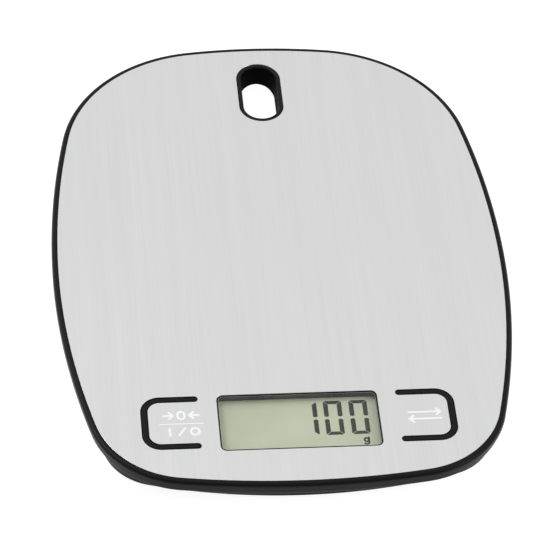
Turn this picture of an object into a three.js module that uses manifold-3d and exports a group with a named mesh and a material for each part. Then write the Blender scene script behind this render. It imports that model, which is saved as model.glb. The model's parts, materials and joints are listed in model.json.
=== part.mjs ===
// A slim digital gram scale: a brushed steel weighing plate bonded on a two-part plastic body, with
// four foot load cells, a liquid crystal display, two flexing keys and a sliding battery cover.
// Millimetres, +Z up. The origin is on the table under the middle of the scale; the display end
// is at -Y and the hanging slot at +Y.

import * as THREE from 'three';
import { mergeVertices } from 'three/addons/utils/BufferGeometryUtils.js';
import Module from 'manifold-3d';

const wasm = await Module();
wasm.setup();

// ---- Driving dimensions ------------------------------------------------------------------------

const HEIGHT = 12.5;                // table to plate top
const PLATE = 0.8;                  // steel plate thickness
const GLUE = 0.15;                  // bond line under the plate
const ROOF = 1.5;                   // upper shell roof thickness
const WALL = 1.4;                   // lower shell floor thickness
const FOOT_DROP = 3;                // table to the lower shell's floor
const GAP = 0.3;                    // clearance between pieces that move or are cut by each other
const FIT = 0.1;                    // clearance between pieces that only sit on each other

// Plate outline: six tangent arcs a side, mirrored about X = 0.
const HALF_WIDTH = 74.1;
const HALF_LENGTH = 99.7;
const WIDEST_Y = -3;
const SLOT_END_RADIUS = 201;
const SLOT_CORNER_RADIUS = 51;
const SLOT_SIDE_RADIUS = 314;
const DISPLAY_SIDE_RADIUS = 275;
const DISPLAY_CORNER_RADIUS = 31;
const DISPLAY_END_RADIUS = 278;

const RIM_OUT = 2;                  // upper shell edge beyond the plate
const LOWER_RIM_OUT = 1.5;          // lower shell edge beyond the plate
const SEAM = 0.2;                   // parting line between the shells
const LOWER_SIDE = 2.3;             // height of the lower shell's upright edge
const BELLY_IN = 12.7;              // floor edge inside the plate outline

// The full front of the belly, under the display: its face and corners are tangent arcs in plan.
const FRONT = { radius: 192, y: -98.1, corner: 19.1, cornerX: 43.9, cornerY: -73.3, back: -20 };

const WINDOW = { x: 0, y: -75, width: 51.7, length: 23.2, radius: 2 };
const LIP = { in: 0.1, wall: 0.5 };  // shell's upstand round the display window
const SLOT = { x: 0, y: 77.95, width: 15.5, length: 29.4 };
const COLLAR = { width: 15.1, length: 29, wall: 1.35 };   // plastic lining of the hanging slot

const KEY = { root: 33, end: 49.3, low: -84.2, high: -64.65, radius: 5 };
const KEY_SLOT = 2.4;               // width of the slot round each key
const KEY_RIB = 1.9;                // plastic rib standing in that slot
const KEY_TRAVEL_DEPTH = 0.8;       // pocket under each key
const SWITCH_X = 42;
const SWITCH_Y = -74.4;

const FEET = [
  { name: 'front_left', x: -48, y: -45, turn: 0 },
  { name: 'front_right', x: 48, y: -45, turn: Math.PI },
  { name: 'rear_left', x: -40, y: 64, turn: 0 },
  { name: 'rear_right', x: 40, y: 64, turn: Math.PI },
];
const FOOT_RADIUS = 8.5;
const CELL_RADIUS = 11;
const CELL_RING = 3;
const CELL = 0.9;                   // load cell sheet thickness

const SCREWS = [[-54, -27], [54, -27], [-54, 38], [54, 38], [-22, 80], [22, 80]];

const COIN = { radius: 10, thick: 3.2, pitch: 21.4 };
const BAY = { x0: 15, x1: 58.4, y: -3, half: 11, wall: 1.4, roof: 1.2 };

const PCB = { half: 46, low: -79, high: -58, noseHalf: 30.4, noseLow: -85.5, z: 5, thick: 1 };
const LCD = { width: 56.8, length: 26.8 };

// ---- Levels worked out from them ---------------------------------------------------------------

const PLATE_Z = HEIGHT - PLATE;
const ROOF_TOP = PLATE_Z - GLUE;
const ROOF_Z = ROOF_TOP - ROOF;
const SEAM_Z = ROOF_Z - SEAM;
const FLOOR_TOP = FOOT_DROP + WALL;
const PCB_TOP = PCB.z + PCB.thick;
const SWITCH_TOP = PCB_TOP + 2.5;
const CELL_Z = FLOOR_TOP + 1.1;
const COIN_Z = FLOOR_TOP + FIT;
const BAY_TOP = COIN_Z + COIN.thick + 0.7;
const SCREW_SEAT = FOOT_DROP + 1.6;
const SCREW_SPLIT = SCREW_SEAT + 1;

// ---- Materials ---------------------------------------------------------------------------------

function plastic(color, roughness) {
  return new THREE.MeshStandardMaterial({ color, roughness, metalness: 0 });
}

function metal(color, roughness) {
  return new THREE.MeshStandardMaterial({ color, roughness, metalness: 1 });
}

const STEEL = metal('#d6d8d7', 0.35);
const SPRING_STEEL = metal('#b9bcbd', 0.4);
const NICKEL = metal('#c9c7c0', 0.3);
const BLACK_ABS = plastic('#333536', 0.5);
const WHITE_ABS = plastic('#e6e6e2', 0.6);
const RUBBER = plastic('#2a2b2c', 0.9);
const CLEAR = new THREE.MeshStandardMaterial({
  color: '#dfe4e2', roughness: 0.05, metalness: 0, transparent: true, opacity: 0.35,
});
const LCD_GREEN = plastic('#b8bea6', 0.4);
const BOARD_GREEN = plastic('#2f6b45', 0.5);
const EPOXY = plastic('#1b1b1b', 0.4);
const TAPE = plastic('#f0efe9', 0.8);
const RED_WIRE = plastic('#b0302a', 0.5);
const BLACK_WIRE = plastic('#202020', 0.5);
const GREY_WIRE = plastic('#8d9091', 0.5);

// ---- Plan outlines -----------------------------------------------------------------------------

function circle(radius, segments = 20) {
  const points = [];
  for (let i = 0; i < segments; i += 1) {
    const angle = (2 * Math.PI * i) / segments;
    points.push(new THREE.Vector2(radius * Math.cos(angle), radius * Math.sin(angle)));
  }
  return points;
}

function roundedRect(width, length, radius, perCorner = 4) {
  const points = [];
  const corners = [[1, 1], [-1, 1], [-1, -1], [1, -1]];
  corners.forEach(([sx, sy], quarter) => {
    for (let i = 0; i <= perCorner; i += 1) {
      const angle = (Math.PI / 2) * (quarter + i / perCorner);
      const x = sx * (width / 2 - radius) + radius * Math.cos(angle);
      const y = sy * (length / 2 - radius) + radius * Math.sin(angle);
      points.push(new THREE.Vector2(x, y));
    }
  });
  return points;
}

function pill(width, length) {
  return roundedRect(width, length, width / 2 - 0.001, 8);
}

// Centre of the arc of one radius that touches two larger arcs from inside. The sign picks the
// centre towards +Y or -Y.
function tangentCentre(endCentre, endRadius, sideCentre, sideRadius, radius, sign) {
  const fromEnd = endRadius - radius;
  const fromSide = sideRadius - radius;
  const between = new THREE.Vector2().subVectors(sideCentre, endCentre);
  const distance = between.length();
  const along = (fromEnd ** 2 - fromSide ** 2 + distance ** 2) / (2 * distance);
  const across = Math.sqrt(fromEnd ** 2 - along ** 2);
  const unit = between.normalize();
  const choices = [1, -1].map((side) => new THREE.Vector2(
    endCentre.x + unit.x * along - side * unit.y * across,
    endCentre.y + unit.y * along + side * unit.x * across,
  ));
  return choices.find((point) => (point.y - WIDEST_Y) * sign > 0);
}

function angleFrom(centre, point) {
  return Math.atan2(point.y - centre.y, point.x - centre.x);
}

// The arcs of the +X half, from the display end round to the slot end.
function halfOutlineArcs() {
  const displayEnd = new THREE.Vector2(0, DISPLAY_END_RADIUS - HALF_LENGTH);
  const slotEnd = new THREE.Vector2(0, HALF_LENGTH - SLOT_END_RADIUS);
  const displaySide = new THREE.Vector2(HALF_WIDTH - DISPLAY_SIDE_RADIUS, WIDEST_Y);
  const slotSide = new THREE.Vector2(HALF_WIDTH - SLOT_SIDE_RADIUS, WIDEST_Y);
  const displayCorner = tangentCentre(
    displayEnd, DISPLAY_END_RADIUS, displaySide, DISPLAY_SIDE_RADIUS, DISPLAY_CORNER_RADIUS, -1,
  );
  const slotCorner = tangentCentre(
    slotEnd, SLOT_END_RADIUS, slotSide, SLOT_SIDE_RADIUS, SLOT_CORNER_RADIUS, 1,
  );
  const a = angleFrom(displayEnd, displayCorner);
  const b = angleFrom(displaySide, displayCorner);
  const c = angleFrom(slotSide, slotCorner);
  const d = angleFrom(slotEnd, slotCorner);
  return [
    { centre: displayEnd, radius: DISPLAY_END_RADIUS, from: -Math.PI / 2, to: a, steps: 3 },
    { centre: displayCorner, radius: DISPLAY_CORNER_RADIUS, from: a, to: b, steps: 9 },
    { centre: displaySide, radius: DISPLAY_SIDE_RADIUS, from: b, to: 0, steps: 4 },
    { centre: slotSide, radius: SLOT_SIDE_RADIUS, from: 0, to: c, steps: 4 },
    { centre: slotCorner, radius: SLOT_CORNER_RADIUS, from: c, to: d, steps: 8 },
    { centre: slotEnd, radius: SLOT_END_RADIUS, from: d, to: Math.PI / 2, steps: 3 },
  ];
}

const ARCS = halfOutlineArcs();

// The plate outline moved outwards by an offset, as an anticlockwise loop.
function outline(offset) {
  const right = [];
  for (const arc of ARCS) {
    for (let i = 0; i < arc.steps; i += 1) {
      const angle = arc.from + ((arc.to - arc.from) * i) / arc.steps;
      const radius = arc.radius + offset;
      right.push(new THREE.Vector2(
        arc.centre.x + radius * Math.cos(angle),
        arc.centre.y + radius * Math.sin(angle),
      ));
    }
  }
  const left = right.slice(1).reverse().map((point) => new THREE.Vector2(-point.x, point.y));
  const top = new THREE.Vector2(0, HALF_LENGTH + offset);
  return [...right, top, ...left];
}

// ---- Solids ------------------------------------------------------------------------------------

function toSolid(geometry) {
  const bare = geometry.clone();
  bare.deleteAttribute('normal');
  bare.deleteAttribute('uv');
  const merged = mergeVertices(bare, 1e-4);
  return new wasm.Manifold(new wasm.Mesh({
    numProp: 3,
    vertProperties: new Float32Array(merged.attributes.position.array),
    triVerts: new Uint32Array(merged.index.array),
  }));
}

function prism(points, z0, z1, x = 0, y = 0) {
  const geometry = new THREE.ExtrudeGeometry(new THREE.Shape(points), {
    depth: z1 - z0,
    bevelEnabled: false,
  });
  geometry.translate(x, y, z0);
  return toSolid(geometry);
}

function box(x0, x1, y0, y1, z0, z1) {
  const geometry = new THREE.BoxGeometry(x1 - x0, y1 - y0, z1 - z0);
  geometry.translate((x0 + x1) / 2, (y0 + y1) / 2, (z0 + z1) / 2);
  return toSolid(geometry);
}

function disc(radius, z0, z1, x = 0, y = 0, segments = 20) {
  return prism(circle(radius, segments), z0, z1, x, y);
}

// A turned piece about +Z from its [radius, z] profile, given from the bottom of the axis up.
function turned(profile, segments = 20) {
  const geometry = new THREE.LatheGeometry(profile.map(([r, z]) => new THREE.Vector2(r, z)), segments);
  geometry.rotateX(Math.PI / 2);
  return toSolid(geometry);
}

// A solid that follows the plate outline, from its [offset, z] profile, bottom first.
function contour(profile) {
  const positions = [];
  const index = [];
  const count = outline(0).length;
  for (const [offset, z] of profile) {
    for (const point of outline(offset)) positions.push(point.x, point.y, z);
  }
  const bottomCentre = positions.length / 3;
  positions.push(0, WIDEST_Y, profile[0][1]);
  const topCentre = bottomCentre + 1;
  positions.push(0, WIDEST_Y, profile[profile.length - 1][1]);
  const topStart = (profile.length - 1) * count;
  for (let i = 0; i < count; i += 1) {
    const next = (i + 1) % count;
    index.push(bottomCentre, next, i);
    index.push(topCentre, topStart + i, topStart + next);
    for (let level = 0; level < profile.length - 1; level += 1) {
      const low = level * count;
      const high = low + count;
      index.push(low + i, low + next, high + next);
      index.push(low + i, high + next, high + i);
    }
  }
  const geometry = new THREE.BufferGeometry();
  geometry.setAttribute('position', new THREE.Float32BufferAttribute(positions, 3));
  geometry.setIndex(index);
  return toSolid(geometry);
}

function swept(curve, points, steps) {
  const geometry = new THREE.ExtrudeGeometry(new THREE.Shape(points), {
    steps,
    bevelEnabled: false,
    extrudePath: curve,
  });
  return toSolid(geometry);
}

function joined(solids) {
  return solids.reduce((sum, solid) => sum.add(solid));
}

const scale = new THREE.Group();

function addPart(name, material, solid, x = 0, y = 0, z = 0, turn = 0) {
  const { vertProperties, triVerts } = solid.getMesh();
  const geometry = new THREE.BufferGeometry();
  geometry.setAttribute('position', new THREE.Float32BufferAttribute(vertProperties, 3));
  geometry.setIndex(Array.from(triVerts));
  geometry.computeVertexNormals();
  const mesh = new THREE.Mesh(geometry, material);
  mesh.name = name;
  mesh.position.set(x, y, z);
  mesh.rotation.z = turn;
  scale.add(mesh);
}

// ---- Keys --------------------------------------------------------------------------------------

// The C-shaped stroke round a key, open towards the display; side is -1 or 1.
function keyStroke(side, width, z0, z1) {
  const reach = KEY.end - KEY.root;
  const middleY = (KEY.low + KEY.high) / 2;
  const span = KEY.high - KEY.low;
  const fullWidth = 2 * reach;
  const x = side * KEY.root;
  const outer = prism(
    roundedRect(fullWidth + width, span + width, KEY.radius + width / 2), z0, z1, x, middleY,
  );
  const inner = prism(
    roundedRect(fullWidth - width, span - width, KEY.radius - width / 2), z0 - 1, z1 + 1, x, middleY,
  );
  const far = x - side * fullWidth;
  const cut = box(Math.min(x, far), Math.max(x, far), KEY.low - 9, KEY.high + 9, z0 - 1, z1 + 1);
  const ends = [KEY.low, KEY.high].map((y) => disc(width / 2, z0, z1, x, y, 10));
  return outer.subtract(inner).subtract(cut).add(joined(ends));
}

// The area inside a key's stroke, from its root to its free end, grown by an offset.
function keyArea(side, offset, z0, z1) {
  const root = KEY.root + GAP - offset;
  const end = KEY.end - KEY_SLOT / 2 + offset;
  const low = KEY.low + KEY_SLOT / 2 - offset;
  const high = KEY.high - KEY_SLOT / 2 + offset;
  const rounded = prism(
    roundedRect(2 * (end - root), high - low, KEY.radius - KEY_SLOT / 2 + offset),
    z0, z1, side * root, (low + high) / 2,
  );
  const x0 = side * root;
  const x1 = side * (end + 1);
  return rounded.intersect(box(
    Math.min(x0, x1), Math.max(x0, x1), low - 1, high + 1, z0, z1,
  ));
}

function addKeys() {
  const plungerHead = disc(4, ROOF_TOP - 0.35, PLATE_Z - 0.02);
  const plungerStem = disc(2, SWITCH_TOP + 1.1, ROOF_TOP - 0.3);
  const plunger = plungerHead.add(plungerStem);
  for (const [side, name] of [[-1, 'tare_power_key'], [1, 'unit_key']]) {
    addPart(name, STEEL, keyArea(side, 0, PLATE_Z, HEIGHT));
    addPart(`${name}_plunger`, BLACK_ABS, plunger, side * SWITCH_X, SWITCH_Y);
  }
}

// ---- Plate and upper shell ---------------------------------------------------------------------

function addPlate() {
  let plate = contour([[0, PLATE_Z], [0, HEIGHT]]);
  const low = PLATE_Z - 1;
  const high = HEIGHT + 1;
  plate = plate.subtract(prism(
    roundedRect(WINDOW.width, WINDOW.length, WINDOW.radius), low, high, WINDOW.x, WINDOW.y,
  ));
  plate = plate.subtract(prism(pill(SLOT.width, SLOT.length), low, high, SLOT.x, SLOT.y));
  for (const side of [-1, 1]) {
    plate = plate.subtract(keyStroke(side, KEY_SLOT, low, high));
    plate = plate.subtract(keyArea(side, 0.29, low, high));
  }
  addPart('steel_plate', STEEL, plate);
}

function addGlueSheet() {
  const low = ROOF_TOP + 0.02;
  const high = PLATE_Z - 0.02;
  let sheet = contour([[-1, low], [-1, high]]);
  const windowHole = roundedRect(WINDOW.width + 1, WINDOW.length + 1, WINDOW.radius);
  sheet = sheet.subtract(prism(windowHole, low - 1, high + 1, WINDOW.x, WINDOW.y));
  sheet = sheet.subtract(prism(pill(SLOT.width + 1, SLOT.length + 1), low - 1, high + 1, SLOT.x, SLOT.y));
  for (const side of [-1, 1]) {
    sheet = sheet.subtract(keyStroke(side, KEY_SLOT + 1, low - 1, high + 1));
    sheet = sheet.subtract(keyArea(side, 1, low - 1, high + 1));
  }
  addPart('adhesive_sheet', TAPE, sheet);
}

// The hole inside the slot's lining, right through both shells.
function hangingHole() {
  const hole = pill(COLLAR.width - 2 * COLLAR.wall, COLLAR.length - 2 * COLLAR.wall);
  return prism(hole, 0, HEIGHT + 1, SLOT.x, SLOT.y);
}

// The display window's outline, drawn in by an inset, as a solid in place.
function windowPrism(inset, z0, z1) {
  const { x, y, width, length, radius } = WINDOW;
  return prism(roundedRect(width - 2 * inset, length - 2 * inset, radius - inset), z0, z1, x, y);
}

function addUpperShell() {
  const bead = [
    [RIM_OUT, ROOF_Z], [RIM_OUT, HEIGHT - 1.3], [RIM_OUT - 0.2, HEIGHT - 0.7],
    [RIM_OUT - 0.6, HEIGHT - 0.25], [RIM_OUT - 1.1, HEIGHT - 0.1],
  ];
  let shell = contour(bead);
  shell = shell.subtract(contour([[GAP / 2, ROOF_TOP], [GAP / 2, HEIGHT + 1]]));
  const lip = contour([[-1.2, ROOF_Z - 1.2], [-1.2, ROOF_Z + 0.5]]);
  const lipInside = contour([[-2.6, ROOF_Z - 3], [-2.6, ROOF_Z]]);
  shell = shell.add(lip.subtract(lipInside));
  const collar = prism(pill(COLLAR.width, COLLAR.length), FLOOR_TOP, HEIGHT - 0.1, SLOT.x, SLOT.y);
  shell = shell.add(collar.intersect(bellyInside(FIT)));
  for (const side of [-1, 1]) {
    shell = shell.subtract(keyArea(side, 0.4, ROOF_TOP - KEY_TRAVEL_DEPTH, HEIGHT + 1));
    shell = shell.add(keyStroke(side, KEY_RIB, ROOF_TOP - 0.5, HEIGHT));
    shell = shell.subtract(disc(2.6, ROOF_Z - 1, HEIGHT, side * SWITCH_X, SWITCH_Y));
    shell = shell.subtract(disc(4.5, ROOF_TOP - KEY_TRAVEL_DEPTH, HEIGHT, side * SWITCH_X, SWITCH_Y));
  }
  for (const [x, y] of SCREWS) {
    shell = shell.add(disc(3.4, SCREW_SPLIT + GAP, ROOF_Z + 0.5, x, y, 12));
    shell = shell.subtract(disc(1.15, SCREW_SPLIT, ROOF_TOP - 0.6, x, y, 10));
  }
  shell = shell.subtract(hangingHole());
  shell = shell.add(windowPrism(LIP.in, ROOF_Z, HEIGHT - 0.1));
  shell = shell.subtract(windowPrism(LIP.in + LIP.wall, ROOF_Z - 1, HEIGHT));
  addPart('upper_shell', BLACK_ABS, shell);
}

// ---- Display -----------------------------------------------------------------------------------

function addDisplay() {
  addPart('display_window', CLEAR, windowPrism(LIP.in + LIP.wall + FIT, ROOF_Z, HEIGHT - 0.2));

  const halfX = LCD.width / 2;
  const halfY = LCD.length / 2;
  const rearZ = PCB_TOP + 1.3;
  const frameOuter = box(-halfX - 2, halfX + 2, -halfY - 1.8, halfY + 1.8, PCB_TOP + FIT, ROOF_Z - FIT);
  const framePocket = box(-halfX - 0.4, halfX + 0.4, -halfY - 0.4, halfY + 0.4, rearZ - FIT, ROOF_Z + 1);
  const frameHole = box(-halfX + 1.4, halfX - 1.4, -halfY + 1.4, halfY - 1.4, PCB_TOP - 1, ROOF_Z + 1);
  const frame = frameOuter.subtract(framePocket).subtract(frameHole);
  addPart('lcd_frame', WHITE_ABS, frame.translate([0, WINDOW.y, 0]).intersect(bellyInside(FIT)));

  const sheet = (low, high, z0, z1) => box(-halfX, halfX, low, high, z0, z1);
  addPart('lcd_reflector', WHITE_ABS, sheet(-halfY, halfY, rearZ, rearZ + 0.2), 0, WINDOW.y);
  addPart('lcd_rear_glass', LCD_GREEN, sheet(-halfY, halfY, rearZ + 0.25, rearZ + 1.35), 0, WINDOW.y);
  const frontGlass = sheet(-halfY, halfY - 1.4, rearZ + 1.4, ROOF_Z - 0.15);
  addPart('lcd_front_glass', LCD_GREEN, frontGlass, 0, WINDOW.y);
  addPart('zebra_strip', EPOXY, box(-24, 24, -1, 1, PCB_TOP + 0.05, rearZ - 0.05), 0, WINDOW.y + 10);
}

// ---- Electronics -------------------------------------------------------------------------------

function addElectronics() {
  const wide = box(-PCB.half, PCB.half, PCB.low, PCB.high, PCB.z, PCB_TOP);
  const nose = box(-PCB.noseHalf, PCB.noseHalf, PCB.noseLow, PCB.low + 1, PCB.z, PCB_TOP);
  addPart('main_pcb', BOARD_GREEN, wide.add(nose));
  const blob = turned([[0, 0], [5.6, 0], [5.2, 0.5], [4, 0.9], [0, 1.1]]);
  addPart('controller_chip', EPOXY, blob, 4, WINDOW.y, PCB_TOP + 0.02);
  const body = box(-3, 3, -3, 3, PCB_TOP + 0.02, SWITCH_TOP).subtract(disc(1.9, PCB_TOP + 1, HEIGHT));
  const button = disc(1.5, PCB_TOP + 1.6, SWITCH_TOP + 1);
  for (const [side, name] of [[-1, 'tare_power_switch'], [1, 'unit_switch']]) {
    addPart(`${name}_body`, BLACK_ABS, body, side * SWITCH_X, SWITCH_Y);
    addPart(`${name}_button`, WHITE_ABS, button, side * SWITCH_X, SWITCH_Y);
  }
}

// ---- Lower shell and battery bay ---------------------------------------------------------------

// The full front of the belly, drawn in by an inset.
function frontBelly(inset, z0, z1) {
  const { radius, y, corner, cornerX, cornerY, back } = FRONT;
  const centreY = y + radius;
  const meet = Math.atan2(cornerX, centreY - cornerY);
  const right = [];
  for (let i = 0; i < 4; i += 1) {
    const angle = (meet * i) / 4;
    const reach = radius - inset;
    right.push(new THREE.Vector2(reach * Math.sin(angle), centreY - reach * Math.cos(angle)));
  }
  for (let i = 0; i <= 8; i += 1) {
    const angle = meet + ((Math.PI / 2 - meet) * i) / 8;
    const reach = corner - inset;
    right.push(new THREE.Vector2(cornerX + reach * Math.sin(angle), cornerY - reach * Math.cos(angle)));
  }
  right.push(new THREE.Vector2(cornerX + corner - inset, back - inset));
  const left = right.slice(1).reverse().map((point) => new THREE.Vector2(-point.x, point.y));
  return prism([...right, ...left], z0, z1);
}

// Outside of the belly: a short upright edge that turns in under the scale to a flat floor, with
// an upright wall at the display end.
function bellyOutside() {
  const sweep = contour([
    [-BELLY_IN, FOOT_DROP], [-BELLY_IN + 1.2, FOOT_DROP + 0.2], [0.6, SEAM_Z - LOWER_SIDE],
    [1.2, SEAM_Z - LOWER_SIDE + 0.3], [LOWER_RIM_OUT, SEAM_Z - LOWER_SIDE + 0.9], [LOWER_RIM_OUT, SEAM_Z],
  ]);
  return sweep.add(frontBelly(0, FOOT_DROP, SEAM_Z - 1));
}

// The room inside the belly, shrunk by a clearance.
function bellyInside(clearance) {
  const profile = [
    [-BELLY_IN - 0.4, FLOOR_TOP + clearance], [-BELLY_IN + 0.8, FLOOR_TOP + 0.2 + clearance],
    [-1.6, SEAM_Z - LOWER_SIDE + 1 + clearance], [-1, SEAM_Z - LOWER_SIDE + 1.4], [-1, HEIGHT],
  ];
  const sweep = contour(profile.map(([offset, z]) => [offset - clearance, z]));
  return sweep.add(frontBelly(WALL + clearance, FLOOR_TOP + clearance, SEAM_Z));
}

const BAY_LOW = BAY.y - BAY.half;
const BAY_HIGH = BAY.y + BAY.half;
const COVER_START = BAY.x0 - 1;
const COVER_HALF = BAY.half + 0.7;

function addLowerShell() {
  let shell = bellyOutside().subtract(bellyInside(0));
  for (const foot of FEET) {
    const ring = disc(CELL_RADIUS + 0.4, FLOOR_TOP - 0.5, CELL_Z - FIT, foot.x, foot.y);
    shell = shell.add(ring).subtract(disc(FOOT_RADIUS + 1, FLOOR_TOP, CELL_Z + 1, foot.x, foot.y));
    shell = shell.subtract(disc(FOOT_RADIUS + GAP, 0, CELL_Z + 1, foot.x, foot.y));
  }
  for (const [x, y] of SCREWS) {
    shell = shell.add(disc(4, FOOT_DROP + 0.2, SCREW_SPLIT, x, y, 12));
    shell = shell.subtract(disc(2.6, 0, SCREW_SEAT, x, y, 12));
    shell = shell.subtract(disc(1.4, 0, HEIGHT, x, y, 10));
  }
  shell = shell.subtract(hangingHole());
  const bayWalls = box(
    BAY.x0 - BAY.wall, BAY.x1 + BAY.wall, BAY_LOW - 3.1, BAY_HIGH + 3.1, FLOOR_TOP - 0.5, BAY_TOP + BAY.roof,
  );
  const bayRoom = box(BAY.x0, BAY.x1, BAY_LOW, BAY_HIGH, 0, BAY_TOP);
  const wallSlim = box(
    BAY.x0 - 3, BAY.x1 + 3, BAY_HIGH + BAY.wall, BAY_HIGH + 4, FLOOR_TOP + 1.6, HEIGHT,
  );
  const wallSlimLow = box(
    BAY.x0 - 3, BAY.x1 + 3, BAY_LOW - 4, BAY_LOW - BAY.wall, FLOOR_TOP + 1.6, HEIGHT,
  );
  shell = shell.add(bayWalls.intersect(bellyOutside()));
  shell = shell.subtract(bayRoom).subtract(wallSlim).subtract(wallSlimLow);
  const endX = HALF_WIDTH + 5;
  const opening = box(COVER_START, endX, BAY.y - COVER_HALF, BAY.y + COVER_HALF, 0, FLOOR_TOP - 0.5);
  const groove = box(
    COVER_START, endX, BAY.y - COVER_HALF - 1, BAY.y + COVER_HALF + 1, FLOOR_TOP - 0.85, FLOOR_TOP,
  );
  shell = shell.subtract(opening).subtract(groove);
  addPart('lower_shell', BLACK_ABS, shell);
}

function addBatteryCover() {
  const start = COVER_START + GAP;
  const endX = HALF_WIDTH + 5;
  const half = COVER_HALF - GAP;
  const top = FLOOR_TOP - 0.15;
  const low = box(start, endX, BAY.y - half, BAY.y + half, FOOT_DROP, top);
  const lips = box(start, endX, BAY.y - half - 1, BAY.y + half + 1, top - 0.5, top);
  let cover = low.add(lips).intersect(bellyOutside());
  for (let i = 0; i < 5; i += 1) {
    const x = BAY.x1 - 12 + 2.2 * i;
    cover = cover.subtract(box(x, x + 1, BAY.y - 6, BAY.y + 6, 0, FOOT_DROP + 0.4));
  }
  addPart('battery_cover', BLACK_ABS, cover);
}

// Two coin cells lie side by side, positive can down towards the cover. A leaf over each presses
// on its negative cap and a clip at the wall touches its can.
function addBatteries() {
  const { radius, thick } = COIN;
  const coin = turned([
    [0, 0], [radius - 0.4, 0], [radius, 0.4], [radius, thick - 0.6], [radius - 1, thick - 0.5],
    [radius - 1.3, thick], [0, thick],
  ], 28);
  const leafZ = COIN_Z + thick + 0.05;
  const middle = (BAY.x0 + BAY.x1) / 2;
  const foot = box(-2.5, 2.5, 4, 8, BAY_TOP - 0.3, BAY_TOP - 0.02);
  const bend = box(-2.5, 2.5, 4, 4.3, leafZ, BAY_TOP - 0.02);
  const leaf = joined([foot, bend, box(-2.5, 2.5, -3, 4.3, leafZ, leafZ + 0.25)]);
  const wallY = BAY.half;
  const clip = box(-3, 3, wallY - 0.35, wallY - 0.05, COIN_Z, BAY_TOP - 0.1)
    .add(box(-1.5, 1.5, radius + FIT, wallY - 0.2, COIN_Z + 0.8, COIN_Z + 2));
  for (const [side, letter] of [[-1, 'a'], [1, 'b']]) {
    const x = middle + (side * COIN.pitch) / 2;
    addPart(`coin_cell_${letter}`, NICKEL, coin, x, BAY.y, COIN_Z);
    addPart(`contact_negative_${letter}`, NICKEL, leaf, x, BAY.y);
    addPart(`contact_positive_${letter}`, NICKEL, clip, x, BAY.y, 0, Math.PI);
  }
}

// ---- Feet and load cells -----------------------------------------------------------------------

function addFeet() {
  const inner = CELL_RADIUS - CELL_RING;
  const window = disc(inner, CELL_Z - 1, CELL_Z + CELL + 1);
  const frame = disc(CELL_RADIUS, CELL_Z, CELL_Z + CELL).subtract(window);
  const beam = box(GAP + 0.4 - inner, 0, -2.6, 2.6, CELL_Z, CELL_Z + CELL);
  const tongue = beam.add(disc(3.6, CELL_Z, CELL_Z + CELL));
  const retainer = disc(CELL_RADIUS + 0.3, CELL_Z + CELL + FIT, CELL_Z + CELL + 1.2)
    .subtract(disc(inner + 0.8, CELL_Z, CELL_Z + CELL + 3));
  const stemTop = CELL_Z - 0.05;
  const cup = turned([
    [0, 1.6], [7.3, 1.6], [7.3, 0.7], [FOOT_RADIUS - 0.3, 0.7], [FOOT_RADIUS, 1],
    [FOOT_RADIUS, FLOOR_TOP + 0.15], [FOOT_RADIUS + 0.7, FLOOR_TOP + 0.15],
    [FOOT_RADIUS + 0.7, FLOOR_TOP + 0.6], [2.6, FLOOR_TOP + 0.6], [2.6, stemTop], [0, stemTop],
  ]);
  const pad = turned([[0, 0], [6.2, 0], [6.9, 0.5], [6.9, 1.5], [0, 1.5]]);
  for (const { name, x, y, turn } of FEET) {
    addPart(`load_cell_frame_${name}`, SPRING_STEEL, frame, x, y, 0, turn);
    addPart(`load_cell_tongue_${name}`, SPRING_STEEL, tongue, x, y, 0, turn);
    addPart(`load_cell_retainer_${name}`, WHITE_ABS, retainer, x, y);
    addPart(`foot_cup_${name}`, BLACK_ABS, cup, x, y);
    addPart(`foot_pad_${name}`, RUBBER, pad, x, y);
  }
}

// ---- Fasteners and wires -----------------------------------------------------------------------

function addScrews() {
  const screw = turned([
    [0, SCREW_SEAT - 1.4], [1.6, SCREW_SEAT - 1.4], [2.2, SCREW_SEAT - 1], [2.2, SCREW_SEAT - 0.05],
    [1, SCREW_SEAT - 0.05], [1, ROOF_TOP - 1.5], [0.4, ROOF_TOP - 0.9], [0, ROOF_TOP - 0.9],
  ], 12)
    .subtract(box(-1.2, 1.2, -0.3, 0.3, FOOT_DROP, SCREW_SEAT - 0.7))
    .subtract(box(-0.3, 0.3, -1.2, 1.2, FOOT_DROP, SCREW_SEAT - 0.7));
  SCREWS.forEach(([x, y], i) => addPart(`case_screw_${i + 1}`, SPRING_STEEL, screw, x, y));
}

function path(points) {
  const vectors = points.map(([x, y, z]) => new THREE.Vector3(x, y, z));
  return new THREE.CatmullRomCurve3(vectors, false, 'centripetal');
}

function addWires() {
  const wire = circle(0.6, 6);
  const boardEdge = PCB.high + 0.4;
  const boardZ = PCB.z + PCB.thick / 2;
  const bayEdge = BAY.x0 - BAY.wall - 0.7;
  for (const [name, material, y, x] of [
    ['battery_lead_red', RED_WIRE, BAY.y - 5, 8], ['battery_lead_black', BLACK_WIRE, BAY.y + 2, 5],
  ]) {
    addPart(name, material, swept(path([
      [bayEdge, y, 7], [x, y - 4, 6.5], [x - 1, y - 24, 6], [x - 1, boardEdge, boardZ],
    ]), wire, 12));
  }

  const lead = roundedRect(1, 2.6, 0.3, 1);
  for (const side of [-1, 1]) {
    const word = side < 0 ? 'left' : 'right';
    addPart(`load_cell_lead_rear_${word}`, GREY_WIRE, swept(path([
      [side * 28.2, 60, 6], [side * 20, 50, 6], [side * 5 - 6, 30, 6],
      [side * 3 - 6, 0, 6], [side * 3 - 6, -35, 6], [side * 3 - 6, boardEdge, boardZ],
    ]), lead, 20));
    addPart(`load_cell_lead_front_${word}`, GREY_WIRE, swept(path([
      [side * 36, -45, 6], [side * 33, -46, 6], [side * 31, -50, 6], [side * 30, boardEdge, boardZ],
    ]), lead, 10));
  }
}

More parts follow.
